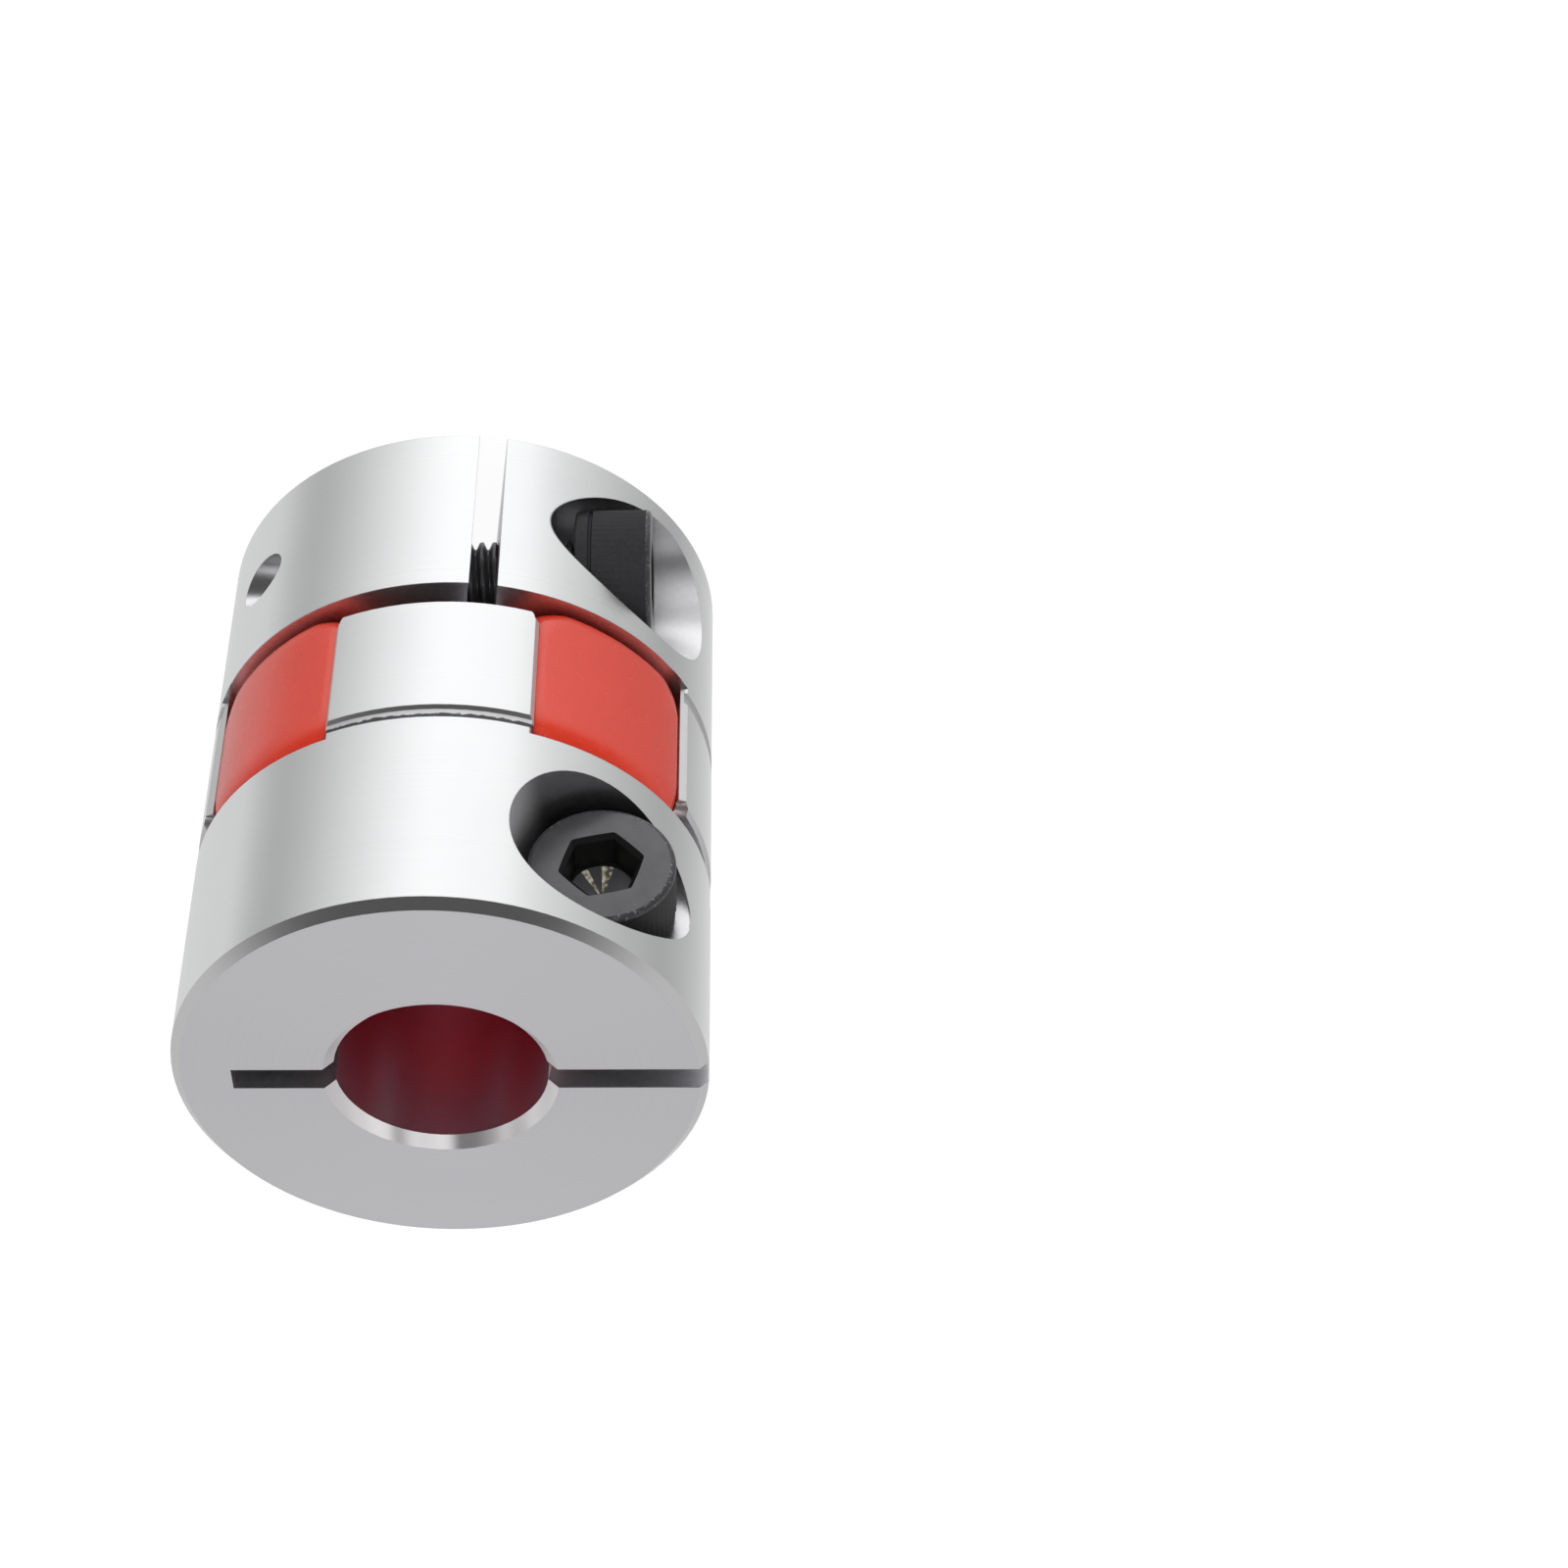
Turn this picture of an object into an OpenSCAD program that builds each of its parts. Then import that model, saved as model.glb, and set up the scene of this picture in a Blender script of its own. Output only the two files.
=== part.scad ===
// Clamp-type jaw coupling: two split hubs that grip their shafts,
// joined by a soft spider whose lobes sit between the hubs' jaws.
// The coupling stands on its small-bore hub, with its axis along +Z.

/* [Coupling] */
// Outside diameter of both hubs
coupling_d = 20; // [19.5:0.5:26]
// Length of a hub's body, from its end face to its pocket floor
body_l = 8.8; // [8.5:0.1:12]
// Space between the pocket floors of the two hubs
floor_gap = 7.4; // [6:0.1:10]
// Chamfer round the end face of each hub
rim_chamfer = 0.35; // [0.1:0.05:0.7]

/* [Bores] */
// Shaft bore of the upper hub
upper_bore_d = 8; // [5:0.1:8.5]
// Shaft bore of the lower hub
lower_bore_d = 5; // [3:0.1:8.5]
// Chamfer at the mouth of each bore
bore_chamfer = 0.4; // [0.1:0.05:0.6]

/* [Jaws] */
// Space between a jaw's tip and the floor it faces
jaw_tip_gap = 0.9; // [0.3:0.05:1.5]
// Radius of the inner side of the jaws
jaw_inner_r = 5.3; // [5:0.1:6]
// Broken edge round the tip of a jaw
jaw_edge_break = 0.15; // [0.05:0.05:0.3]
// Broken edge along each flank of a jaw
jaw_flank_break = 0.35; // [0.1:0.05:0.4]
// Rounded corners at the tip of a jaw
jaw_corner_r = 0.45; // [0.2:0.05:0.8]
// Height of the root groove's lower edge above the pocket floor
root_groove_rise = 0.3; // [0.1:0.05:0.6]
// Width of the turned groove at the root of the jaws
root_groove_w = 0.5; // [0.3:0.05:1]
// Depth of the turned groove at the root of the jaws
root_groove_depth = 0.12; // [0.08:0.02:0.3]

/* [Spider] */
// Widest part of a lobe, across its two bulged flanks
lobe_w = 7.3; // [6:0.1:7.5]
// Radius of the bulge of a lobe's flank
lobe_bulge_r = 9; // [7:0.5:14]
// Distance from the axis at which a lobe is widest
lobe_wide_r = 7.9; // [7:0.1:9]
// How far the lobes stay inside the hubs' outside surface
lobe_inset = 0.25; // [0.1:0.05:0.8]
// Rounded edges at the two ends of a lobe's outer surface
lobe_edge_r = 0.5; // [0.2:0.05:1]
// Broken edge along each flank of a lobe
lobe_flank_break = 0.2; // [0.1:0.05:0.5]
// Hole through the middle of the spider
spider_hole_d = 6.4; // [4:0.1:8]
// Step from the face of a lobe down to the spider's ring
ring_step = 0.5; // [0.2:0.1:1.2]
// How far the lobes run into the spider's ring
lobe_root_lap = 0.5; // [0.3:0.1:0.7]
// Clearance between a lobe's flank and the jaw beside it
lobe_clearance = 0.03; // [0.02:0.01:0.1]
// Clearance between a lobe and each pocket floor
lobe_end_clearance = 0.15; // [0.1:0.05:0.5]
// Clearance between the spider's ring and the jaws
ring_clearance = 0.2; // [0.1:0.05:0.5]

/* [Clamps] */
// Width of the clamping slit
slit_w = 1.1; // [0.6:0.1:1.4]
// Wall that joins the two halves behind the blind end of the slit
hinge_wall = 2.25; // [1.5:0.05:4]
// Distance from the hub's outside surface in to the clamp screw's axis
screw_inset = 4; // [3.7:0.05:4.2]
// Height of the clamp screw's axis above the hub's end face
screw_height = 4.5; // [4.2:0.05:4.6]
// Distance from the hub's axis out to the clamp screw's seat
seat_offset = 3.75; // [3.6:0.05:4.7]
// How far the upper screw is backed out from its seat
upper_screw_lift = 0.3; // [0:0.05:1.2]
// How far the lower screw is backed out from its seat
lower_screw_lift = 0.95; // [0:0.05:1.2]
// Diameter of the counterbore round the screw's head
counterbore_d = 6.5; // [6:0.1:7]
// Diameter of the clearance hole under the head
clearance_hole_d = 3.2; // [3.1:0.05:3.3]
// Diameter of the drilled hole past the screw's tip
tap_drill_d = 2.2; // [2:0.05:2.7]
// How far the upper hub's screw is turned from square to its jaws
upper_screw_turn = 3; // [-12:0.5:12]
// How far the upper hub's slit is turned from square to its jaws
upper_slit_turn = 2.5; // [-12:0.5:12]
// How far the lower hub's screw is turned from square to its jaws
lower_screw_turn = -2; // [-12:0.5:12]
// How far the lower hub's slit is turned from square to its jaws
lower_slit_turn = -10; // [-12:0.5:12]

/* [Screws] */
// Thread diameter of a clamp screw
screw_d = 3; // [2.8:0.1:3]
// Length of a clamp screw under its head
screw_l = 10; // [8:0.5:11]
// Diameter of a clamp screw's head
head_d = 5.5; // [5:0.05:5.8]
// Height of a clamp screw's head
head_h = 3; // [2.5:0.1:3.2]
// Rounded edge round the top of the head
head_edge_r = 0.2; // [0.1:0.05:0.6]
// Chamfer round the tip of the thread
tip_chamfer = 0.4; // [0.3:0.05:0.5]
// Width across the flats of the hexagon socket
socket_w = 2.5; // [2:0.1:2.6]
// Depth of the hexagon socket
socket_depth = 1.5; // [1:0.1:1.8]
// Diameter of the chamfered mouth of the socket
socket_mouth_d = 3.2; // [3:0.05:3.6]
// Clearance between the thread and the hole it is cut in
thread_clearance = 0.01; // [0.01:0.01:0.05]

/* [Hidden] */
$fn = 96;
aluminium = [0.86, 0.87, 0.88];
red_polyurethane = [0.82, 0.22, 0.16];
black_steel = [0.08, 0.08, 0.09];
// Overshoot of a cut past the face that it opens
over = 1;
coupling_r = coupling_d / 2;
coupling_l = 2 * body_l + floor_gap;
hub_l = coupling_l - body_l - jaw_tip_gap;
lobe_r = coupling_r - lobe_inset;
lobe_h = floor_gap - 2 * lobe_end_clearance;
ring_r = jaw_inner_r - ring_clearance;
ring_h = lobe_h - 2 * ring_step;
lobe_root_r = ring_r - lobe_root_lap;
screw_offset = coupling_r - screw_inset;
lobe_angles = [45, 135, 225, 315];
// Where the centre of a flank's bulge lies from a lobe's middle line, as an offset, a distance and a turn
bulge_offset = lobe_bulge_r - lobe_w / 2;
bulge_centre_r = norm([lobe_wide_r, bulge_offset]);
bulge_turn = atan2(bulge_offset, lobe_wide_r);
// Turns from a jaw's and a lobe's middle line to its outer corners
jaw_half_angle = 45 - flank_angle(coupling_r, lobe_clearance);
lobe_half_angle = flank_angle(lobe_r, 0);

// Turn from a lobe's middle line to its flank, grown by a clearance, at radius r
function flank_angle(r, grow) = triangle_angle(r, bulge_centre_r, lobe_bulge_r + grow) - bulge_turn;

// Angle of a triangle between sides a and b, opposite side c
function triangle_angle(a, b, c) = acos((a * a + b * b - c * c) / (2 * a * b));

// Section of one lobe along +X, grown by a clearance: two crossing discs
module lobe_section(grow) {
    intersection_for(side = [-1, 1])
        translate([lobe_wide_r, side * bulge_offset])
            circle(r = lobe_bulge_r + grow, $fn = 180);
}

// Section of the pair of jaws along +Y and -Y
module jaw_section() {
    difference() {
        polygon([
            [0, 0],
            [coupling_d, coupling_d],
            [-coupling_d, coupling_d],
            [coupling_d, -coupling_d],
            [-coupling_d, -coupling_d]
        ], [[0, 1, 2], [0, 3, 4]]);
        circle(r = jaw_inner_r);
        for (a = lobe_angles)
            rotate(a) lobe_section(lobe_clearance);
        for (a = [90, 270])
            rotate(a) outer_corners(coupling_r, jaw_half_angle, jaw_flank_break);
    }
}

// Squares on edge that break the two outer corners of a section along +X
module outer_corners(r, half_angle, edge_break) {
    for (side = [-1, 1])
        rotate(side * half_angle)
            translate([r, 0])
                rotate(45) square(edge_break * sqrt(2), center = true);
}

// Turned blank of a hub, end face down, with the groove at the jaws' root
module hub_blank() {
    groove_low = body_l + root_groove_rise;
    groove_high = groove_low + root_groove_w;
    groove_r = coupling_r - root_groove_depth;
    rotate_extrude($fn = 180)
        polygon([
            [0, 0],
            [coupling_r - rim_chamfer, 0],
            [coupling_r, rim_chamfer],
            [coupling_r, groove_low],
            [groove_r, groove_low],
            [groove_r, groove_high],
            [coupling_r, groove_high + root_groove_depth],
            [coupling_r, hub_l - jaw_edge_break],
            [coupling_r - jaw_edge_break, hub_l],
            [0, hub_l]
        ]);
}

// Everything milled away between the jaws, down to the pocket floor
module pocket() {
    translate([0, 0, body_l])
        linear_extrude(hub_l - body_l + over)
            difference() {
                circle(r = coupling_r + over);
                jaw_section();
            }
}

// Cuts that round the corners at the tips of the jaws
module tip_corners() {
    corner_x = coupling_r * sin(jaw_half_angle) - jaw_flank_break - jaw_corner_r;
    cut_w = jaw_corner_r + over;
    for (side = [-1, 1])
        translate([side * corner_x, 0, hub_l - jaw_corner_r])
            rotate([90, 0, 0])
                linear_extrude(2 * (coupling_r + over), center = true)
                    difference() {
                        translate([(side - 1) / 2 * cut_w, 0]) square(cut_w);
                        circle(r = jaw_corner_r, $fn = 48);
                    }
}

// Shaft bore with a chamfered mouth in the end face
module bore(bore_d) {
    translate([0, 0, -over])
        cylinder(d = bore_d, h = body_l + 2 * over);
    translate([0, 0, -over])
        cylinder(d1 = bore_d + 2 * (bore_chamfer + over), d2 = bore_d, h = bore_chamfer + over);
}

// Slit through the bore, open towards +X
module slit() {
    translate([hinge_wall - coupling_r, -slit_w / 2, -over])
        cube([2 * coupling_r - hinge_wall + over, slit_w, body_l + 2 * over]);
}

// Stands a shape made along +Z in a clamp screw's place, its seat at z = 0
module at_screw(screw_turn) {
    rotate(screw_turn)
        translate([screw_offset, -seat_offset, screw_height])
            rotate([90, 0, 0])
                children();
}

// Stepped hole of a clamp screw, its seat at z = 0
module screw_hole() {
    thread_l = screw_l - seat_offset;
    cylinder(d = counterbore_d, h = coupling_d);
    translate([0, 0, -seat_offset])
        cylinder(d = clearance_hole_d, h = seat_offset + over);
    translate([0, 0, -seat_offset - thread_l])
        cylinder(d = screw_d + 2 * thread_clearance, h = thread_l);
    translate([0, 0, -seat_offset - coupling_d])
        cylinder(d = tap_drill_d, h = coupling_d);
}

// One hub in its own frame, end face down and jaws up
module hub(bore_d, screw_turn, slit_turn) {
    difference() {
        hub_blank();
        pocket();
        tip_corners();
        bore(bore_d);
        rotate(slit_turn) slit();
        at_screw(screw_turn) screw_hole();
    }
}

// Socket head screw along +Z, lifted off its seat at z = 0
module clamp_screw(lift) {
    thread_r = screw_d / 2;
    flat_r = head_d / 2 - head_edge_r;
    edge_z = head_h - head_edge_r;
    mouth_h = (socket_mouth_d - socket_w) / 2;
    translate([0, 0, lift])
        difference() {
            rotate_extrude() {
                polygon([
                    [0, -screw_l],
                    [thread_r - tip_chamfer, -screw_l],
                    [thread_r, tip_chamfer - screw_l],
                    [thread_r, edge_z],
                    [0, edge_z]
                ]);
                square([flat_r, head_h]);
                square([head_d / 2, edge_z]);
                translate([flat_r, edge_z]) circle(r = head_edge_r, $fn = 32);
            }
            translate([0, 0, head_h - socket_depth])
                cylinder(d = socket_w / cos(30), h = socket_depth + over, $fn = 6);
            translate([0, 0, head_h - mouth_h])
                cylinder(d1 = socket_w, d2 = socket_mouth_d, h = mouth_h);
        }
}

// Places of the two hubs' own frames in the coupling
module lower_place() {
    rotate(-90) children();
}
module upper_place() {
    translate([0, 0, coupling_l]) rotate([0, 180, 0]) children();
}

module lower_hub() {
    color(aluminium)
        lower_place() hub(lower_bore_d, lower_screw_turn, lower_slit_turn);
}

module upper_hub() {
    color(aluminium)
        upper_place() hub(upper_bore_d, upper_screw_turn, upper_slit_turn);
}

// Four-lobed elastic spider, moulded in one piece
module spider() {
    mid_z = body_l + floor_gap / 2;
    color(red_polyurethane)
        translate([0, 0, mid_z])
            difference() {
                union() {
                    cylinder(r = ring_r, h = ring_h, center = true);
                    intersection() {
                        lobe_envelope();
                        linear_extrude(lobe_h, center = true)
                            for (a = lobe_angles)
                                rotate(a) lobe_beyond_ring();
                    }
                }
                cylinder(d = spider_hole_d, h = floor_gap, center = true);
            }
}

// A lobe's section, from just inside the ring's outside surface outwards
module lobe_beyond_ring() {
    difference() {
        lobe_section(0);
        circle(r = lobe_root_r);
        outer_corners(lobe_r, lobe_half_angle, lobe_flank_break);
    }
}

// Round envelope that gives the lobes their outer surface and rounded edges
module lobe_envelope() {
    edge_z = lobe_h / 2 - lobe_edge_r;
    rotate_extrude($fn = 180) {
        translate([0, -lobe_h / 2]) square([lobe_r - lobe_edge_r, lobe_h]);
        translate([0, -edge_z]) square([lobe_r, 2 * edge_z]);
        for (side = [-1, 1])
            translate([lobe_r - lobe_edge_r, side * edge_z]) circle(r = lobe_edge_r, $fn = 32);
    }
}

module lower_clamp_screw() {
    color(black_steel)
        lower_place() at_screw(lower_screw_turn) clamp_screw(lower_screw_lift);
}

module upper_clamp_screw() {
    color(black_steel)
        upper_place() at_screw(upper_screw_turn) clamp_screw(upper_screw_lift);
}

lower_hub();
upper_hub();
spider();
lower_clamp_screw();
upper_clamp_screw();
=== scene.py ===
from math import atan2, cos, pi, radians, sin, sqrt

import bpy
from mathutils import Matrix, Vector


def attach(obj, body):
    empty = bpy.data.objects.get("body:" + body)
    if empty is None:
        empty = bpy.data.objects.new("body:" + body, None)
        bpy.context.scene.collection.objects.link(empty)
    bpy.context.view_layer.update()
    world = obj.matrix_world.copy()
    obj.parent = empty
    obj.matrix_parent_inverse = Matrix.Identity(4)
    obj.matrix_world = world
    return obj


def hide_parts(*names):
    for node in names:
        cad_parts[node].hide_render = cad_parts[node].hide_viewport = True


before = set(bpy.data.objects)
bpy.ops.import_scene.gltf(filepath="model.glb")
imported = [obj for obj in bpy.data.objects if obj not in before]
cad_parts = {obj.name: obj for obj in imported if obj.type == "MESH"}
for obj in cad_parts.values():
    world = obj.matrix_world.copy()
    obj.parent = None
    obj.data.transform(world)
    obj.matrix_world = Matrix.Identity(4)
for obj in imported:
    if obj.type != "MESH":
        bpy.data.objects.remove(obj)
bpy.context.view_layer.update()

# The two hubs are turned from bright aluminium bar, bored, milled into a pair of jaws and sawn
# through the bore, so that a screw can close them on a shaft. Each is one piece of bare metal:
# the barrel keeps fine turning marks, the end is faced satin, and the cuts are left as milled.
MM = 0.001
COUPLING_L = 25 * MM
BARREL_R = 10 * MM
GROOVE_R = 9.88 * MM
JAW_INNER_R = 5.3 * MM
UPPER_BORE_R = 4 * MM
LOWER_BORE_R = 2.5 * MM
BORE_CHAMFER = 0.4 * MM
COUNTERBORE_R = 3.25 * MM
CLEARANCE_R = 1.6 * MM
TAP_DRILL_R = 1.1 * MM
SCREW_OFFSET = 6 * MM
SCREW_HEIGHT = 4.5 * MM
SEAT_OFFSET = 3.75 * MM
UPPER_SCREW_LIFT = 0.3 * MM
LOWER_SCREW_LIFT = 0.95 * MM
UPPER_SCREW_TURN = radians(3)
LOWER_SCREW_TURN = radians(-2)
SHARP_EDGE = radians(24)
EDGE_ROUND = 0.05 * MM
EDGE_ZONE = 0.2 * MM
FEED_MM = 0.14
ON_SURFACE = 0.004 * MM
NEAR_SURFACE = 0.05 * MM
MERGE = 0.0005 * MM
UPRIGHT = 0.05
BARREL, END, BORE, CUT, EDGE, COUNTERBORE, BORE_EDGE = range(7)

lower_place = Matrix.Rotation(radians(-90), 4, "Z")
upper_place = Matrix.Translation((0, 0, COUPLING_L)) @ Matrix.Rotation(pi, 4, "Y")


def screw_place(hub_place, turn, lift):
    """Where a clamp screw stands, lifted off its seat: thread along -Z and head along +Z."""
    seat = Matrix.Translation((SCREW_OFFSET, -SEAT_OFFSET - lift, SCREW_HEIGHT))
    return hub_place @ Matrix.Rotation(turn, 4, "Z") @ seat @ Matrix.Rotation(pi / 2, 4, "X")


upper_screw_place = screw_place(upper_place, UPPER_SCREW_TURN, UPPER_SCREW_LIFT)
lower_screw_place = screw_place(lower_place, LOWER_SCREW_TURN, LOWER_SCREW_LIFT)


class Value:
    """One output of a node. Sums and products of values add the Math nodes that work them out."""

    def __init__(self, socket):
        self.socket = socket
        self.tree = socket.id_data

    def __getitem__(self, name):
        return Value(self.socket.node.outputs[name])

    def make(self, kind, settings, sockets):
        node = self.tree.nodes.new(kind)
        for name, setting in settings.items():
            if name == "stops":
                while len(node.color_ramp.elements) < len(setting):
                    node.color_ramp.elements.new(1)
                for element, (place, shade) in zip(node.color_ramp.elements, setting):
                    element.position = place
                    element.color = (shade, shade, shade, 1)
            else:
                setattr(node, name, setting)
        self.feed(node, sockets)
        return Value(node.outputs[0])

    def feed(self, node, sockets):
        for name, given in sockets.items():
            if isinstance(given, Value):
                self.tree.links.new(given.socket, node.inputs[name])
            else:
                node.inputs[name].default_value = given

    def math(self, operation, *numbers):
        return self.make("ShaderNodeMath", {"operation": operation}, dict(enumerate(numbers)))

    def __add__(self, other):
        return self.math("ADD", self, other)

    def __sub__(self, other):
        return self.math("SUBTRACT", self, other)

    def __rsub__(self, other):
        return self.math("SUBTRACT", other, self)

    def __mul__(self, other):
        return self.math("MULTIPLY", self, other)

    __radd__ = __add__
    __rmul__ = __mul__

    def rise(self, low, high):
        """0 below low, 1 above high, and a smooth step between them."""
        limits = {"Value": self, "From Min": low, "From Max": high}
        return self.make("ShaderNodeMapRange", {"interpolation_type": "SMOOTHSTEP"}, limits)

    def noise(self, scale, detail=2.0):
        """Soft noise along this value, from 0 to 1."""
        settings = {"noise_dimensions": "1D"}
        return self.make("ShaderNodeTexNoise", settings, {"W": self, "Scale": scale, "Detail": detail})

    def between(self, low, high):
        """The colour that is low where this value is 0 and high where it is 1."""
        mix = self.make("ShaderNodeMix", {"data_type": "RGBA"}, {0: self, 6: low, 7: high})
        return mix[2]


def new_finish(name):
    """A material with its shader, and the place on the piece in millimetres."""
    material = bpy.data.materials.new(name)
    material.use_nodes = True
    shader = material.node_tree.nodes["Principled BSDF"]
    start = Value(shader.outputs[0])
    place = start.make("ShaderNodeTexCoord", {}, {})["Object"]
    in_mm = start.make("ShaderNodeVectorMath", {"operation": "SCALE"}, {0: place, "Scale": 1 / MM})
    return material, shader, in_mm


def split(place):
    return place.make("ShaderNodeSeparateXYZ", {}, {0: place})


def length(x, y):
    return x.math("SQRT", x * x + y * y)


def speckle(place, scale, detail):
    """Soft noise all through a piece, from 0 to 1."""
    return place.make("ShaderNodeTexNoise", {}, {"Vector": place, "Scale": scale, "Detail": detail})


def soft_edge(place):
    """Normals that round sharp edges off a little."""
    return place.make("ShaderNodeBevel", {"samples": 6}, {"Radius": EDGE_ROUND})


def turned_barrel():
    material, shader, place = new_finish("turned_barrel")
    z = split(place)["Z"]
    marks = z.noise(9, 4)
    feed_lines = z.math("SINE", z * (2 * pi / FEED_MM))
    patches = speckle(place, 0.35, 3.0)
    tone = (marks * 0.5 + patches * 0.5).between((0.86, 0.865, 0.875, 1), (0.95, 0.955, 0.96, 1))
    edge = soft_edge(place)
    relief = marks + feed_lines * 0.12
    bump = {"Height": relief, "Strength": 0.12, "Distance": 0.01 * MM, "Normal": edge}
    place.feed(shader, {
        "Base Color": tone,
        "Metallic": 1.0,
        "Roughness": 0.2 + marks * 0.1,
        "Anisotropic": 0.75,
        "Anisotropic Rotation": 0.25,
        "Normal": place.make("ShaderNodeBump", {}, bump),
    })
    return material


def faced_end():
    material, shader, place = new_finish("faced_end")
    xyz = split(place)
    rings = length(xyz["X"], xyz["Y"]).noise(7, 5)
    patches = speckle(place, 0.12, 2.0)
    tone = (rings * 0.4 + patches * 0.6).between((0.84, 0.825, 0.86, 1), (0.93, 0.92, 0.95, 1))
    edge = soft_edge(place)
    bump = {"Height": rings, "Strength": 0.15, "Distance": 0.01 * MM, "Normal": edge}
    place.feed(shader, {
        "Base Color": tone,
        "Metallic": 1.0,
        "Roughness": 0.4 + patches * 0.1,
        "Anisotropic": 0.3,
        "Normal": place.make("ShaderNodeBump", {}, bump),
    })
    return material


def bored_wall():
    """Bored bright, with a faint purple tint all over and a red tinge where the upper bore nears the
    spider: both are painted reflection of the red spider.
    """
    material, shader, place = new_finish("bored_wall")
    z = split(place)["Z"]
    rings = z.noise(8, 3)
    # Painted reflection of the red spider: the base colour turns red from 13 mm up to 19 mm, then
    # fades out toward the upper end.
    painted_spider_reflection = (1 - z.rise(19, 25.5)) * z.rise(12, 13)
    place.feed(shader, {
        "Base Color": painted_spider_reflection.between((0.88, 0.81, 0.91, 1), (0.92, 0.38, 0.57, 1)),
        "Metallic": 1.0,
        "Roughness": 0.33 + rings * 0.06,
    })
    return material


def turned_edge():
    """Chamfers, and the groove at the jaws' root, whose lower edge carries a ragged dark band of
    painted shade.
    """
    material, shader, place = new_finish("turned_edge")
    xyz = split(place)
    x, y = xyz["X"], xyz["Y"]
    above_middle = xyz["Z"] - COUPLING_L / 2 / MM
    upper_jaw = (y * y - x * x).rise(0, 10)
    tears = speckle(place, 3.5, 4.0)
    ragged_height = above_middle + (tears - 0.5) * 0.25
    rim = above_middle.math("ABSOLUTE", above_middle).rise(3.5, 3.6)
    # Painted shade: the dark band at the groove's lower edge, on the jaws that upper_jaw picks out.
    painted_groove_shade = ragged_height.rise(3.08, 3.15) * (1 - rim) * upper_jaw
    place.feed(shader, {
        "Base Color": painted_groove_shade.between((0.86, 0.86, 0.87, 1), (0.12, 0.12, 0.125, 1)),
        "Metallic": 1.0,
        "Roughness": 0.45 - rim * 0.25 + tears * 0.1,
    })
    return material


def bore_edge():
    """The chamfer round the bore, partly rubbed dull."""
    material, shader, place = new_finish("bore_edge")
    rubbed = split(place)["X"].noise(0.55, 1.0).rise(0.3, 0.7)
    place.feed(shader, {
        "Base Color": (0.74, 0.72, 0.73, 1),
        "Metallic": 0.9 - rubbed * 0.6,
        "Roughness": 0.4,
    })
    return material


def milled_cut():
    material, shader, place = new_finish("milled_cut")
    chatter = speckle(place, 5.0, 4.0)
    edge = soft_edge(place)
    bump = {"Height": chatter, "Strength": 0.2, "Distance": 0.02 * MM, "Normal": edge}
    place.feed(shader, {
        "Base Color": chatter.between((0.8, 0.8, 0.82, 1), (0.93, 0.93, 0.95, 1)),
        "Metallic": 1.0,
        "Roughness": 0.26 + chatter * 0.14,
        "Normal": place.make("ShaderNodeBump", {}, bump),
    })
    return material


def counterbored_wall():
    """Fully metallic deep down; near the barrel, on the side closest to the bore, half diffuse so that
    it renders lighter there, a painted light.
    """
    material, shader, place = new_finish("counterbored_wall")
    xyz = split(place)
    x, y = xyz["X"], xyz["Y"]
    from_bore = x.math("MINIMUM", x.math("ABSOLUTE", x), y.math("ABSOLUTE", y))
    # Painted light: the wall is made half diffuse here only to lighten this side.
    dull = length(x, y).rise(6.5, 9.4) * (1 - from_bore.rise(2.8, 4.3))
    chatter = speckle(place, 5.0, 4.0)
    place.feed(shader, {
        "Base Color": chatter.between((0.8, 0.8, 0.82, 1), (0.93, 0.93, 0.95, 1)),
        "Metallic": 1 - dull * 0.5,
        "Roughness": 0.26 + chatter * 0.14,
    })
    return material


def merged_copy(node, name):
    """A new piece from a solid's mesh, with its loose triangles joined and its curves smooth."""
    bpy.ops.object.select_all(action="DESELECT")
    piece = bpy.data.objects.new(name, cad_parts[node].data.copy())
    bpy.context.scene.collection.objects.link(piece)
    bpy.context.view_layer.objects.active = piece
    piece.select_set(True)
    piece.data.materials.clear()
    bpy.ops.mesh.customdata_custom_splitnormals_clear()
    bpy.ops.object.mode_set(mode="EDIT")
    bpy.ops.mesh.select_all(action="SELECT")
    bpy.ops.mesh.remove_doubles(threshold=MERGE)
    bpy.ops.object.mode_set(mode="OBJECT")
    bpy.ops.object.shade_smooth_by_angle(angle=SHARP_EDGE)
    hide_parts(node)
    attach(piece, "root")
    return piece


def true_round(piece, rounds):
    """Points the normals of each turned or drilled surface straight at its axis.

    rounds holds (place of the axis, radius); the axis is the place's own Z.
    """
    mesh = piece.data
    normals = [corner.vector.copy() for corner in mesh.corner_normals]
    for place, radius in rounds:
        inside = place.inverted()
        local = [inside @ vertex.co for vertex in mesh.vertices]
        on_round = [abs(point.xy.length - radius) < ON_SURFACE for point in local]
        turn = place.to_3x3()
        for face in mesh.polygons:
            if not all(on_round[i] for i in face.vertices):
                continue
            middle = sum((local[i] for i in face.vertices), Vector()) / len(face.vertices)
            facing = turn.transposed() @ face.normal
            if abs(facing.z) > UPRIGHT:
                continue
            side = 1 if facing.xy.dot(middle.xy) > 0 else -1
            for corner in face.loop_indices:
                point = local[mesh.loops[corner].vertex_index]
                normals[corner] = turn @ (side * Vector((point.x, point.y, 0)).normalized())
    mesh.normals_split_custom_set(normals)


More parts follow.
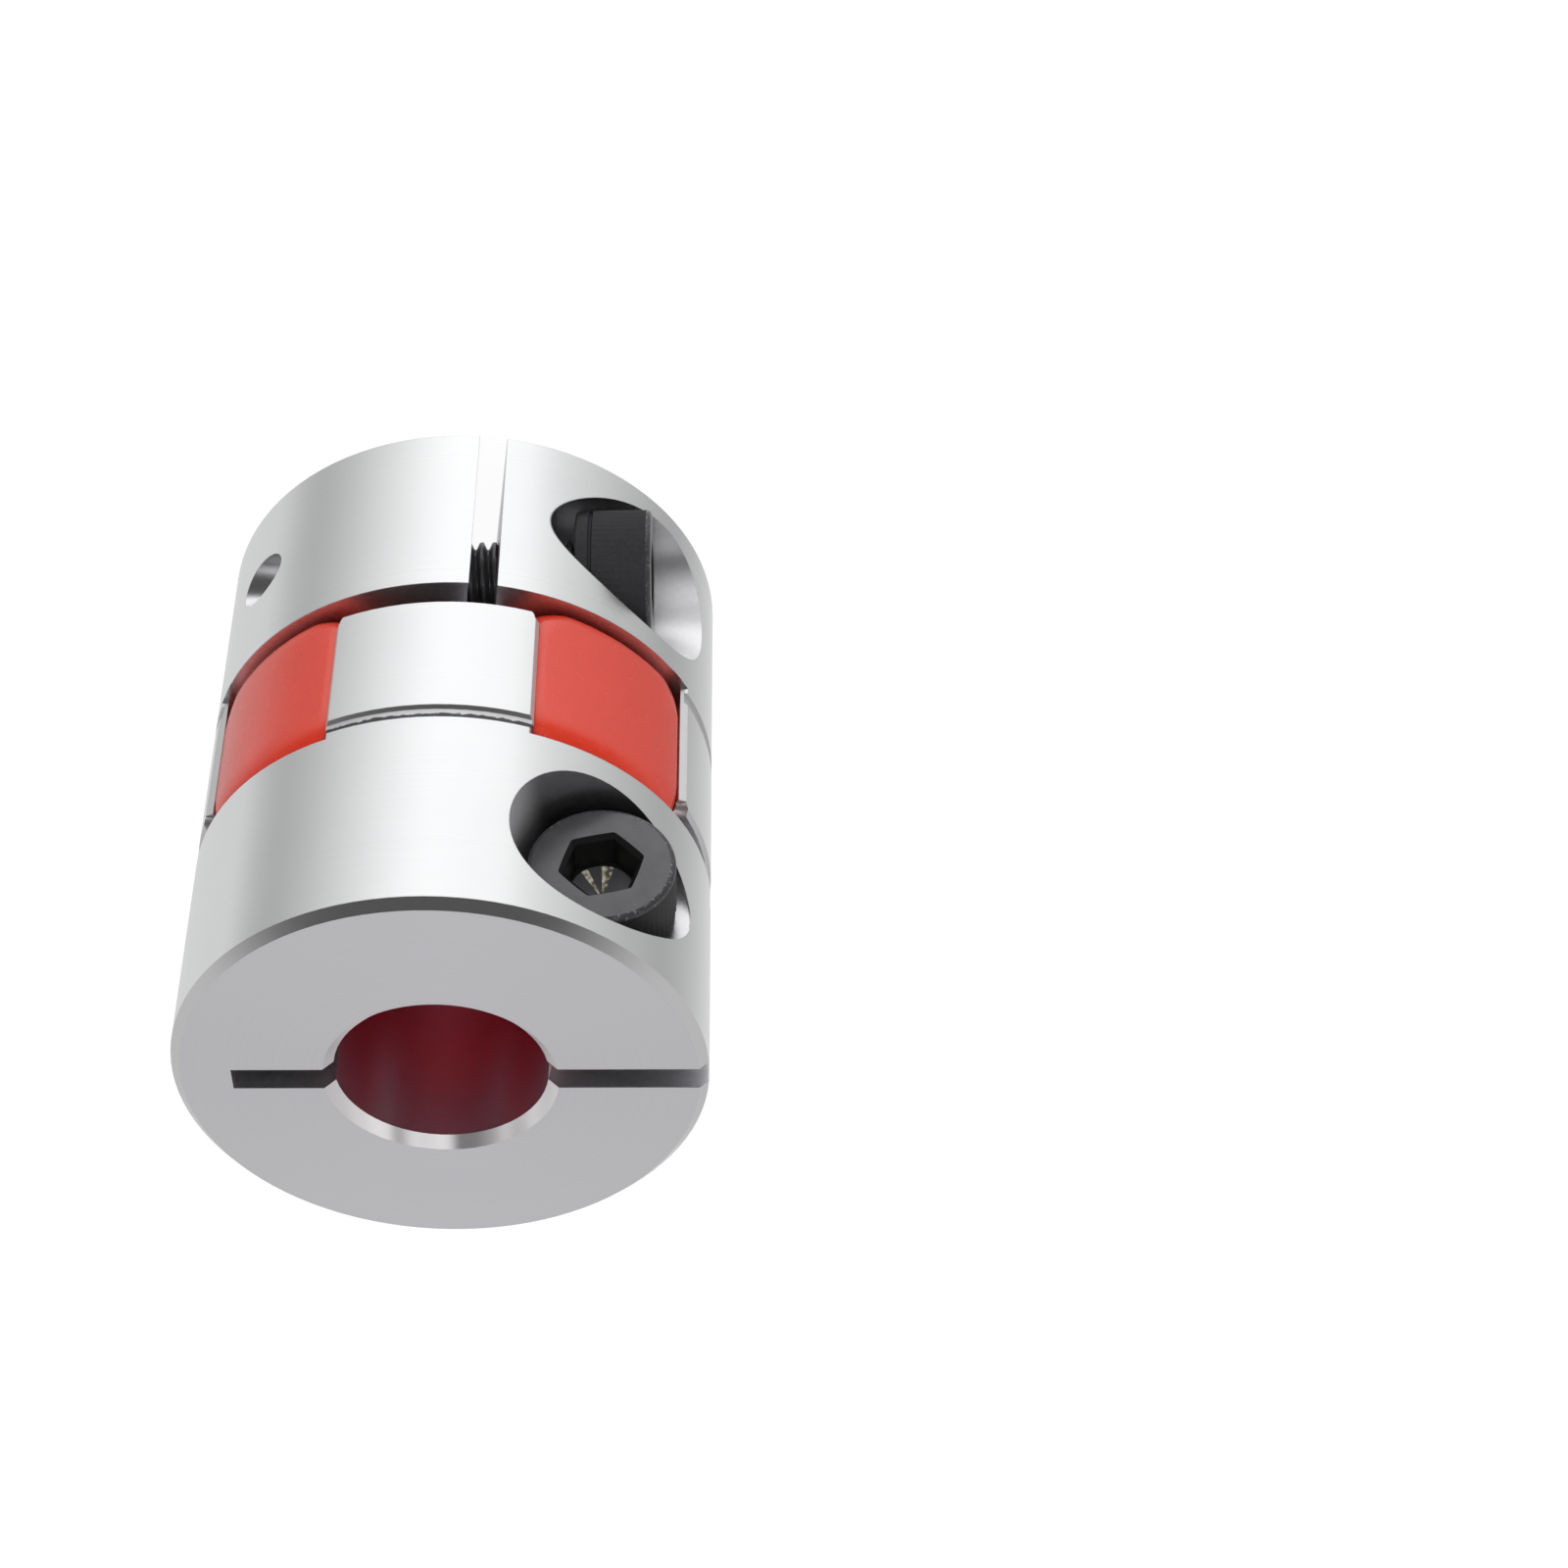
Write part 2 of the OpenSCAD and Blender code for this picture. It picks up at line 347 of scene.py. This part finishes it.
def dress_hub(node, name, bore_r, end_z, hole_place):
    hub = merged_copy(node, name)
    straight = Matrix.Identity(4)
    true_round(hub, [
        (straight, BARREL_R),
        (straight, GROOVE_R),
        (straight, JAW_INNER_R),
        (straight, bore_r),
        (hole_place, COUNTERBORE_R),
        (hole_place, CLEARANCE_R),
        (hole_place, TAP_DRILL_R),
    ])
    for finish in hub_finishes:
        hub.data.materials.append(finish)
    for face in hub.data.polygons:
        radius = face.center.xy.length
        upright = abs(face.normal.z) < UPRIGHT
        from_screw = (hole_place.inverted() @ face.center).xy.length
        if radius > BARREL_R - NEAR_SURFACE and upright:
            face.material_index = BARREL
        elif abs(face.center.z - end_z) < ON_SURFACE:
            face.material_index = END
        elif radius < bore_r + ON_SURFACE and upright:
            face.material_index = BORE
        elif abs(from_screw - COUNTERBORE_R) < NEAR_SURFACE:
            face.material_index = COUNTERBORE
        elif radius < bore_r + BORE_CHAMFER:
            face.material_index = BORE_EDGE
        elif radius > GROOVE_R - EDGE_ZONE:
            face.material_index = EDGE
        else:
            face.material_index = CUT


hub_finishes = [
    turned_barrel(), faced_end(), bored_wall(), milled_cut(), turned_edge(),
    counterbored_wall(), bore_edge(),
]
dress_hub("lower_hub", "lower_hub_turned", LOWER_BORE_R, 0, lower_screw_place)
dress_hub("upper_hub", "upper_hub_turned", UPPER_BORE_R, COUPLING_L, upper_screw_place)

# The spider is one moulding of red polyurethane: a ring with four lobes that fill the spaces
# between the jaws. It is pushed in between the hubs by hand, so its soft skin swells against the
# jaws, and its lobes are rounder at their corners and at their upper ends.
SKIN_STEP = 0.14 * MM
SWELL = 0.06 * MM
SOFTENING_STEPS = 4
ROUNDING_STEPS = 220
ROUND_FROM = 1.9 * MM
ROUND_FULL = 3.1 * MM
LOWER_SHARE = 0.2
CORNER_FROM = 2.3 * MM
CORNER_FULL = 3.3 * MM


def red_polyurethane():
    material, shader, place = new_finish("red_polyurethane")
    clouds = speckle(place, 0.5, 3.0)
    grain = speckle(place, 3.0, 2.0)
    bump = {"Height": grain, "Strength": 0.03, "Distance": 0.02 * MM}
    place.feed(shader, {
        "Base Color": clouds.between((0.53, 0.022, 0.004, 1), (0.58, 0.029, 0.007, 1)),
        "Roughness": 0.22 + grain * 0.08,
        "IOR": 1.5,
        "Specular IOR Level": 1.0,
        "Subsurface Weight": 0.35,
        "Subsurface Radius": (1.0, 0.25, 0.12),
        "Subsurface Scale": 0.8 * MM,
        "Normal": place.make("ShaderNodeBump", {}, bump),
    })
    return material


spider = merged_copy("spider", "spider_moulded")
spider.data.materials.append(red_polyurethane())
bpy.ops.object.modifier_add(type="REMESH")
skin = spider.modifiers[-1]
skin.mode = "VOXEL"
skin.voxel_size = SKIN_STEP
bpy.ops.object.modifier_apply(modifier=skin.name)
lobe_ends = spider.vertex_groups.new(name="lobe_ends")
for vertex in spider.data.vertices:
    above_middle = vertex.co.z - COUPLING_L / 2
    across = min(abs(vertex.co.x + vertex.co.y), abs(vertex.co.x - vertex.co.y)) / sqrt(2)
    at_end = min(1, (abs(above_middle) - ROUND_FROM) / (ROUND_FULL - ROUND_FROM))
    at_corner = max(0, min(1, (across - CORNER_FROM) / (CORNER_FULL - CORNER_FROM)))
    share = at_end * (1 if above_middle > 0 else max(at_corner, LOWER_SHARE))
    if share > 0 and vertex.co.xy.length > JAW_INNER_R:
        lobe_ends.add([vertex.index], share, "REPLACE")
for steps, group in ((SOFTENING_STEPS, ""), (ROUNDING_STEPS, lobe_ends.name)):
    bpy.ops.object.modifier_add(type="SMOOTH")
    softening = spider.modifiers[-1]
    softening.iterations = steps
    softening.vertex_group = group
    bpy.ops.object.modifier_apply(modifier=softening.name)
bpy.ops.object.modifier_add(type="DISPLACE")
swelling = spider.modifiers[-1]
swelling.mid_level = 0
swelling.strength = SWELL
bpy.ops.object.modifier_apply(modifier=swelling.name)
bpy.ops.object.shade_smooth()

# The two clamp screws are M3 x 10 socket heads in black oxide. The thread is rolled, the head is
# knurled above a plain band, and the hexagon socket has a chamfered mouth and a drilled bottom.
THREAD_R = 1.5 * MM
THREAD_DEPTH = 0.31 * MM
PITCH = 0.5 * MM
SCREW_L = 10 * MM
TIP_CHAMFER = 0.4 * MM
HEAD_R = 2.75 * MM
HEAD_H = 3 * MM
HEAD_EDGE_R = 0.2 * MM
BAND_H = 0.5 * MM
BAND_INSET = 0.06 * MM
BAND_GROOVE = 0.15 * MM
KNURL_DEPTH = 0.035 * MM
SOCKET_W = 2.5 * MM
SOCKET_DEPTH = 1.5 * MM
SOCKET_MOUTH_R = 1.6 * MM
SOCKET_BEVEL = 0.18 * MM
SOCKET_TURN = radians(14)
# Slices of the drilled cone, by angle, that get painted glints.
GLINTS = [(radians(70), radians(94)), (radians(119), radians(132))]
DRILL_POINT = 0.5 * MM
SOCKET_FLOOR = HEAD_H - SOCKET_DEPTH
FLANK_SLOPE = 1.7
ROOT_FLAT = 0.2
THREAD_EDGE = radians(32)
SIDES = 128
RINGS_PER_PITCH = 10
ROUND_STEPS = 6
OXIDE, WORN, SOCKET, POINT, KNURL = range(5)


def black_oxide():
    material, shader, place = new_finish("black_oxide")
    mottle = speckle(place, 1.6, 4.0)
    grain = speckle(place, 14.0, 3.0)
    bump = {"Height": grain, "Strength": 0.15, "Distance": 0.01 * MM}
    place.feed(shader, {
        "Base Color": mottle.between((0.075, 0.073, 0.079, 1), (0.125, 0.123, 0.13, 1)),
        "Metallic": 0.6,
        "Roughness": 0.24 + mottle * 0.1,
        "Normal": place.make("ShaderNodeBump", {}, bump),
    })
    return material


def worn_edge():
    """Black oxide that is rubbed through to bright steel in specks."""
    material, shader, place = new_finish("worn_edge")
    specks = speckle(place, 7.0, 4.0).rise(0.55, 0.85)
    place.feed(shader, {
        "Base Color": specks.between((0.05, 0.049, 0.053, 1), (0.45, 0.44, 0.42, 1)),
        "Metallic": 0.4 + specks * 0.6,
        "Roughness": 0.3,
    })
    return material


# Black oxide on the head's knurled side: the knurl's roughness is real, while the far darker, barely
# shiny colour is painted shade on the head's side.
def knurled_side_painted_shade():
    material, shader, place = new_finish("knurled_side_painted_shade")
    shade_mottle = speckle(place, 6.0, 3.0)
    place.feed(shader, {
        "Base Color": shade_mottle.between((0.016, 0.016, 0.018, 1), (0.032, 0.032, 0.034, 1)),
        "Roughness": 0.55 + shade_mottle * 0.1,
        "Specular IOR Level": 0.2,
    })
    return material


# Painted shade: the socket's mouth, walls and floor are near black and barely shiny, far darker than
# the black oxide of the rest of the screw, standing in for the dark inside the recess.
def socket_painted_shade():
    material, shader, place = new_finish("socket_painted_shade")
    shade_mottle = speckle(place, 6.0, 3.0)
    place.feed(shader, {
        "Base Color": shade_mottle.between((0.004, 0.004, 0.004, 1), (0.008, 0.008, 0.008, 1)),
        "Roughness": 0.4 + shade_mottle * 0.1,
        "Specular IOR Level": 0.2,
    })
    return material


# Painted highlight: warm bright facets on the slices of the drilled cone listed in GLINTS, broken up
# by noise, standing in for glints of light in the socket.
def painted_glint_point():
    material, shader, place = new_finish("painted_glint_point")
    glint_breakup = speckle(place, 5.0, 3.0).rise(0.35, 0.7)
    place.feed(shader, {
        "Base Color": glint_breakup.between((0.06, 0.055, 0.045, 1), (0.5, 0.46, 0.36, 1)),
        "Roughness": 0.4,
    })
    return material


def thread_r(angle, z):
    """Radius of the thread: a rolled ridge that climbs one pitch a turn and dies out at the tip."""
    climb = (z / PITCH - angle / (2 * pi)) % 1
    ridge = max(0, min(1, FLANK_SLOPE * (1 - abs(2 * climb - 1)) - ROOT_FLAT))
    return min(THREAD_R - THREAD_DEPTH * (1 - ridge), THREAD_R - TIP_CHAMFER + (z + SCREW_L))


def hexagon_r(angle):
    """Radius of the socket's hexagon, which has a corner at SOCKET_TURN."""
    return SOCKET_W / 2 / cos((angle - SOCKET_TURN) % (pi / 3) - pi / 6)


def mouth_r(angle):
    """Radius of the socket's mouth, a slightly wider hexagon with worn corners."""
    return min(SOCKET_MOUTH_R, hexagon_r(angle) + SOCKET_BEVEL)


def knurl_r(side):
    return HEAD_R - KNURL_DEPTH * (side % 2)


def screw_rings():
    """Each ring of the screw from its tip to its socket: radius and height of a side at an angle."""
    count = round(SCREW_L / PITCH * RINGS_PER_PITCH)
    for i in range(count):
        z = -SCREW_L + SCREW_L * i / count
        yield lambda side, angle, z=z: (thread_r(angle, z), z)
    yield lambda side, angle: (THREAD_R, 0)
    yield lambda side, angle: (HEAD_R - 2 * BAND_INSET, 0)
    yield lambda side, angle: (HEAD_R - BAND_INSET, BAND_INSET)
    yield lambda side, angle: (HEAD_R - BAND_INSET, BAND_H)
    yield lambda side, angle: (HEAD_R - BAND_GROOVE, BAND_H + BAND_INSET)
    yield lambda side, angle: (HEAD_R - BAND_GROOVE, BAND_H + 2 * BAND_INSET)
    yield lambda side, angle: (knurl_r(side), BAND_H + 3 * BAND_INSET)
    yield lambda side, angle: (knurl_r(side), HEAD_H - HEAD_EDGE_R - BAND_INSET)
    for i in range(ROUND_STEPS + 1):
        turn = pi / 2 * i / ROUND_STEPS
        r = HEAD_R - HEAD_EDGE_R * (1 - cos(turn))
        z = HEAD_H - HEAD_EDGE_R * (1 - sin(turn))
        yield lambda side, angle, r=r, z=z: (r, z)
    yield lambda side, angle: (mouth_r(angle), HEAD_H)
    yield lambda side, angle: (hexagon_r(angle), HEAD_H - mouth_r(angle) + hexagon_r(angle))
    yield lambda side, angle: (hexagon_r(angle), SOCKET_FLOOR)
    yield lambda side, angle: (SOCKET_W / 2 - BAND_INSET, SOCKET_FLOOR)


def make_screw(node, name, place):
    rings = list(screw_rings())
    bpy.ops.object.select_all(action="DESELECT")
    bpy.ops.mesh.primitive_grid_add(x_subdivisions=SIDES, y_subdivisions=len(rings) - 1)
    screw = bpy.context.active_object
    screw.name = name
    for i, vertex in enumerate(screw.data.vertices):
        ring, side = divmod(i, SIDES + 1)
        angle = 2 * pi * (side % SIDES) / SIDES
        r, z = rings[ring](side, angle)
        vertex.co = (r * cos(angle), r * sin(angle), z)
    bpy.ops.object.mode_set(mode="EDIT")
    bpy.ops.mesh.select_all(action="SELECT")
    bpy.ops.mesh.remove_doubles(threshold=MERGE)
    bpy.ops.mesh.select_mode(type="VERT")
    for level in (-SCREW_L, SOCKET_FLOOR):
        bpy.ops.mesh.select_all(action="DESELECT")
        bpy.ops.object.mode_set(mode="OBJECT")
        for vertex in screw.data.vertices:
            inner = vertex.co.xy.length < SOCKET_W / 2 - BAND_INSET / 2
            vertex.select = inner and abs(vertex.co.z - level) < ON_SURFACE
        bpy.ops.object.mode_set(mode="EDIT")
        bpy.ops.mesh.edge_face_add()
    bpy.ops.mesh.poke(offset=-DRILL_POINT)
    bpy.ops.mesh.select_all(action="SELECT")
    bpy.ops.mesh.normals_make_consistent(inside=False)
    bpy.ops.object.mode_set(mode="OBJECT")
    bpy.ops.object.shade_smooth_by_angle(angle=THREAD_EDGE)
    for finish in screw_finishes:
        screw.data.materials.append(finish)
    for face in screw.data.polygons:
        radius = face.center.xy.length
        if face.center.z > HEAD_H - HEAD_EDGE_R and radius > HEAD_R - HEAD_EDGE_R:
            face.material_index = WORN
        elif face.center.z > 0 and radius < SOCKET_MOUTH_R:
            turn = atan2(face.center.y, face.center.x)
            # Painted shade on the socket's mouth, walls and floor; painted glints on the cone slices
            # listed in GLINTS; the rest of the cone keeps the black oxide.
            if face.center.z > SOCKET_FLOOR - ON_SURFACE:
                face.material_index = SOCKET
            elif any(low < turn < high for low, high in GLINTS):
                face.material_index = POINT
        elif 0 < face.center.z < HEAD_H - HEAD_EDGE_R and radius > THREAD_R:
            face.material_index = KNURL
        else:
            face.material_index = OXIDE
    screw.matrix_world = place
    bpy.ops.object.transform_apply(location=True, rotation=True, scale=True)
    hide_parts(node)
    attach(screw, "root")


screw_finishes = [black_oxide(), worn_edge(), socket_painted_shade(), painted_glint_point(), knurled_side_painted_shade()]
make_screw("lower_clamp_screw", "lower_screw_threaded", lower_screw_place)
make_screw("upper_clamp_screw", "upper_screw_threaded", upper_screw_place)

# The floor is a plain pale sheet under the coupling, lit by two wide soft lamps. The room round it
# is a tent, white low down in front, greyer at its sides and back, dim overhead, and dark where the
# photographer stands.
FLOOR_SIZE = 4.0
FLOOR_DROP = 0.02 * MM
SHADOW_SHARE = 0.1
FLOOR_GLOW = 1.05
ROOM_LIGHT = 0.55
LAMP_DISTANCE = 0.6
LAMP_SIZE = 0.5
LAMPS = [("front_lamp", (-0.15, -0.85, 0.5), 2.5), ("bore_lamp", (0, 0.4, 0.9), 2.5)]
TENT_BY_TURN = [
    (0, 0.75), (0.05, 0.62), (0.19, 0.57), (0.22, 0.62), (0.25, 0.44), (0.29, 0.36),
    (0.34, 0.5), (0.4, 0.72), (0.46, 0.95), (0.49, 1), (0.58, 0.95), (0.63, 0.7),
    (0.71, 0.5), (0.81, 0.32), (0.88, 0.44), (0.95, 0.62), (1, 0.75),
]
TENT_LIGHT = 1.2
OVERHEAD_FRONT = 0.08
OVERHEAD_BACK = 0.54
LENS_DARK = 0.08
toward_lens = Vector((-0.13, -0.69, 0.71)).normalized()

bpy.ops.object.select_all(action="DESELECT")
bpy.ops.mesh.primitive_plane_add(size=FLOOR_SIZE, location=(0, 0, -FLOOR_DROP))
floor = bpy.context.active_object
floor.name = "floor"
floor.visible_glossy = False
paper = bpy.data.materials.new("pale_paper")
paper.use_nodes = True
sheet = paper.node_tree.nodes["Principled BSDF"]
sheet.inputs["Base Color"].default_value = (0.85, 0.85, 0.85, 1)
sheet.inputs["Roughness"].default_value = 0.9
start = Value(sheet.outputs[0])
rays = start.make("ShaderNodeLightPath", {}, {})
glow = start.make("ShaderNodeEmission", {}, {"Strength": FLOOR_GLOW})
seen = rays["Is Camera Ray"] * (1 - SHADOW_SHARE) + rays["Is Transmission Ray"]
mixed = start.make("ShaderNodeMixShader", {}, {0: seen, 1: start, 2: glow})
start.feed(paper.node_tree.nodes["Material Output"], {"Surface": mixed})
floor.data.materials.append(paper)

scene = bpy.context.scene
scene.view_settings.view_transform = "Standard"
scene.world = bpy.data.worlds.new("tent")
scene.world.use_nodes = True
backing = scene.world.node_tree.nodes["Background"]
start = Value(backing.outputs[0])
rays = start.make("ShaderNodeLightPath", {}, {})
ray = start.make("ShaderNodeTexCoord", {}, {})["Generated"]
xyz = split(ray)
turn = 0.5 + xyz.math("ARCTAN2", 0 - xyz["X"], 0 - xyz["Y"]) * (0.5 / pi)
sides = TENT_LIGHT * turn.make("ShaderNodeValToRGB", {"stops": TENT_BY_TURN}, {0: turn})
up = xyz["Z"].rise(-0.55, -0.2)
overhead = OVERHEAD_FRONT + xyz["Y"].rise(-0.5, 0.2) * (OVERHEAD_BACK - OVERHEAD_FRONT)
room = sides * (1 - up) + up * overhead
along_lens = {0: ray, 1: toward_lens}
near_lens = ray.make("ShaderNodeVectorMath", {"operation": "DOT_PRODUCT"}, along_lens)["Value"]
dark = near_lens.rise(0.72, 0.95)
room = room * (1 - dark) + dark * LENS_DARK
shown = rays["Is Camera Ray"] + rays["Is Transmission Ray"]
glossy = rays["Is Glossy Ray"]
level = shown + (1 - shown) * (glossy * room + (1 - glossy) * ROOM_LIGHT)
start.feed(backing, {"Color": (1, 1, 1, 1), "Strength": level})

for name, back, power in LAMPS:
    bpy.ops.object.light_add(type="AREA")
    lamp = bpy.context.active_object
    lamp.name = name
    lamp.data.shape = "DISK"
    lamp.data.size = LAMP_SIZE
    lamp.data.energy = power
    lamp.location = Vector(back).normalized() * LAMP_DISTANCE
    lamp.rotation_mode = "QUATERNION"
    lamp.rotation_quaternion = lamp.location.to_track_quat("Z", "Y")
    lamp.visible_glossy = False

# The camera looks down on the upper end from close by, rolled over so that the lower end is at the
# top of the picture.
LENS_MM = 76.5
SENSOR_MM = 36
eye = Vector((-15.41, -98.14, 101.06)) * MM
forward = Vector((0.01865, 0.73522, -0.67757)).normalized()
image_up = Vector((-0.03037, -0.67696, -0.73539))
image_right = forward.cross(image_up).normalized()
image_up = image_right.cross(forward)
camera = bpy.data.objects.new("camera", bpy.data.cameras.new("camera"))
scene.collection.objects.link(camera)
camera.data.lens = LENS_MM
camera.data.sensor_width = SENSOR_MM
camera.data.clip_start = 1 * MM
camera.data.clip_end = 10
axes = Matrix((image_right, image_up, -forward)).transposed()
camera.matrix_world = Matrix.Translation(eye) @ axes.to_4x4()
scene.camera = camera
